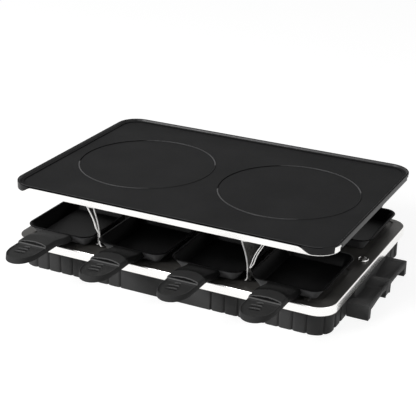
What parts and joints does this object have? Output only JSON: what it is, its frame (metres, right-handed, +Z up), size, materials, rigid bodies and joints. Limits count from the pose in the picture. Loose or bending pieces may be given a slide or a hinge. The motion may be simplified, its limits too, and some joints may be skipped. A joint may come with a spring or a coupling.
{
  "type": "electric table grill",
  "caption": "Raclette grill: ribbed black base, steel deck and pillars, heater under a black plate with ring grooves, small pans drawn out front and rear.",
  "frame": {"origin": "middle of the footprint, under the rubber feet", "axes": "+X along the plate to the pilot lamp's end, -Y to the front pans, +Z up"},
  "size_m": [0.5104, 0.495, 0.1253],
  "materials": {
    "black_plastic": "satin moulded",
    "brushed_steel": "brushed",
    "polished_steel": "polished sheet",
    "nonstick_coat": "matte non-stick coat",
    "zinc_screws": "zinc plated",
    "black_rubber": "matte",
    "pale_ceramic": "unglazed",
    "lamp_lens": "clear moulded",
    "element_sheath": "heat darkened",
    "lead_sleeve": "braided sleeve"
  },
  "bodies": {
    "base": {"base_housing": "black_plastic", "bottom_cover": "black_plastic", "deck_tray": "brushed_steel", "side_handle_left": "black_plastic", "side_handle_right": "black_plastic", "side_handle_screw_left": "zinc_screws", "side_handle_screw_right": "zinc_screws", "pilot_lamp_bezel": "polished_steel", "pilot_lamp_holder": "black_plastic", "pilot_lamp_lens": "lamp_lens", "heater_frame": "polished_steel", "element_strap_left": "brushed_steel", "element_strap_right": "brushed_steel", "heating_element": "element_sheath", "element_insulator_left": "pale_ceramic", "element_insulator_right": "pale_ceramic", "thermal_cutout": "pale_ceramic", "lead_conduit": "brushed_steel", "terminal_block": "pale_ceramic", "supply_lead_left": "lead_sleeve", "supply_lead_right": "lead_sleeve", "lamp_lead": "lead_sleeve", "cord_gland": "black_rubber", "rubber_foot_front_left": "black_rubber", "pillar_front_left": "polished_steel", "pillar_screw_front_left": "zinc_screws", "rubber_foot_front_right": "black_rubber", "pillar_front_right": "polished_steel", "pillar_screw_front_right": "zinc_screws", "rubber_foot_rear_left": "black_rubber", "pillar_rear_left": "polished_steel", "pillar_screw_rear_left": "zinc_screws", "rubber_foot_rear_right": "black_rubber", "pillar_rear_right": "polished_steel", "pillar_screw_rear_right": "zinc_screws"},
    "grill_plate": {"top_plate": "nonstick_coat"},
    "pan_body_1": {"pan_1": "nonstick_coat", "pan_handle_1": "black_plastic", "pan_rivet_1": "zinc_screws"},
    "pan_body_2": {"pan_2": "nonstick_coat", "pan_handle_2": "black_plastic", "pan_rivet_2": "zinc_screws"},
    "pan_body_3": {"pan_3": "nonstick_coat", "pan_handle_3": "black_plastic", "pan_rivet_3": "zinc_screws"},
    "pan_body_4": {"pan_4": "nonstick_coat", "pan_handle_4": "black_plastic", "pan_rivet_4": "zinc_screws"},
    "pan_body_5": {"pan_5": "nonstick_coat", "pan_handle_5": "black_plastic", "pan_rivet_5": "zinc_screws"},
    "pan_body_6": {"pan_6": "nonstick_coat", "pan_handle_6": "black_plastic", "pan_rivet_6": "zinc_screws"},
    "pan_body_7": {"pan_7": "nonstick_coat", "pan_handle_7": "black_plastic", "pan_rivet_7": "zinc_screws"},
    "pan_body_8": {"pan_8": "nonstick_coat", "pan_handle_8": "black_plastic", "pan_rivet_8": "zinc_screws"}
  },
  "joints": [
    {"name": "plate_lift", "type": "slide", "parent": "base", "child": "grill_plate", "axis": [0, 0, 1], "range_m": [0, 0.06]},
    {"name": "pan_draw_1", "type": "slide", "parent": "base", "child": "pan_body_1", "axis": [0, -1, 0], "range_m": [0, 0.13]},
    {"name": "pan_draw_2", "type": "slide", "parent": "base", "child": "pan_body_2", "axis": [0, -1, 0], "range_m": [0, 0.13]},
    {"name": "pan_draw_3", "type": "slide", "parent": "base", "child": "pan_body_3", "axis": [0, -1, 0], "range_m": [0, 0.13]},
    {"name": "pan_draw_4", "type": "slide", "parent": "base", "child": "pan_body_4", "axis": [0, -1, 0], "range_m": [0, 0.13]},
    {"name": "pan_draw_5", "type": "slide", "parent": "base", "child": "pan_body_5", "axis": [0, 1, 0], "range_m": [0, 0.13]},
    {"name": "pan_draw_6", "type": "slide", "parent": "base", "child": "pan_body_6", "axis": [0, 1, 0], "range_m": [0, 0.13]},
    {"name": "pan_draw_7", "type": "slide", "parent": "base", "child": "pan_body_7", "axis": [0, 1, 0], "range_m": [0, 0.13]},
    {"name": "pan_draw_8", "type": "slide", "parent": "base", "child": "pan_body_8", "axis": [0, 1, 0], "range_m": [0, 0.13]}
  ]
}
